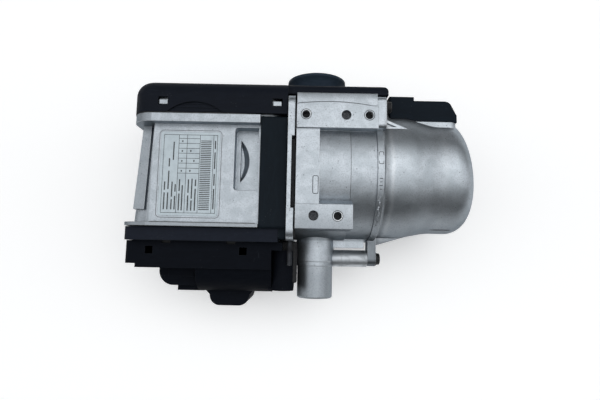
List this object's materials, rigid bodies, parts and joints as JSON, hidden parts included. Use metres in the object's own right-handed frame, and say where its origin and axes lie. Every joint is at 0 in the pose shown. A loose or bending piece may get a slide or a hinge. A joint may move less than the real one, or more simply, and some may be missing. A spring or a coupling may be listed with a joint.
{
  "type": "diesel coolant heater",
  "caption": "Compact fuel-fired coolant heater: fan and control unit, burner head, finned heat exchanger under a dished drum, air intake, exhaust stub, water ports and a fan rotor that spins.",
  "frame": {"origin": "centre of the flat pad on the back of the heat exchanger, under the exhaust axis; the heater lies on its back on z = 0, as it was pictured", "axes": "+X along the drum away from the fan, +Y towards the air intake, so the exhaust points along -Y, and +Z out of the face with the threaded bosses"},
  "size_m": [0.2113, 0.1474, 0.091],
  "materials": {
    "exchanger_cast": "die-cast, bead-blasted",
    "jacket_cast": "die-cast, satin",
    "housing_cast": "die-cast, satin",
    "head_cast": "die-cast, machined edge",
    "black_plastic": "glass-filled, fine grain",
    "black_duct": "glass-filled, fine grain",
    "steel_bright": "turned",
    "screw_black": "black zinc",
    "screw_zinc": "zinc plated",
    "rubber_seal": "smooth",
    "gasket_sheet": "graphite sheet",
    "burner_steel": "heat-tinted",
    "fleece": "sintered metal fleece",
    "ceramic": "ceramic",
    "impeller_plastic": "moulded",
    "magnet": "coated",
    "core_steel": "laminated",
    "copper": "enamelled copper wire",
    "board": "solder mask",
    "component_black": "moulded",
    "sensor_brass": "turned",
    "pin_tin": "tinned"
  },
  "bodies": {
    "heater": {"exchanger_body": "exchanger_cast", "water_jacket": "jacket_cast", "jacket_seal": "rubber_seal", "jacket_screws": "screw_black", "tie_spacer": "steel_bright", "tie_screw": "screw_black", "temperature_sensor": "sensor_brass", "overheat_sensor": "sensor_brass", "sensor_cover": "black_plastic", "head_plate": "head_cast", "head_gasket": "gasket_sheet", "head_screws": "screw_zinc", "combustion_tube": "burner_steel", "burner_insert": "burner_steel", "evaporator_pad": "fleece", "glow_pin": "ceramic", "fuel_pipe": "screw_zinc", "air_duct": "black_duct", "fan_housing": "housing_cast", "bearing_carrier": "housing_cast", "carrier_screws": "screw_zinc", "upper_bearing": "steel_bright", "lower_bearing": "steel_bright", "stator_core": "core_steel", "stator_windings": "copper", "cover_seal": "rubber_seal", "intake_cover": "black_plastic", "intake_bell": "black_plastic", "electronics_frame": "black_duct", "control_board": "board", "board_components": "component_black", "connector_cover": "black_plastic", "socket_pins": "pin_tin"},
    "fan_rotor": {"impeller": "impeller_plastic", "motor_shaft": "steel_bright", "rotor_magnet": "magnet"}
  },
  "joints": [
    {"name": "fan_spin", "type": "hinge", "parent": "heater", "child": "fan_rotor", "pos_m": [-0.0726, 0, 0.042], "axis": [0, 1, 0], "continuous": true}
  ]
}
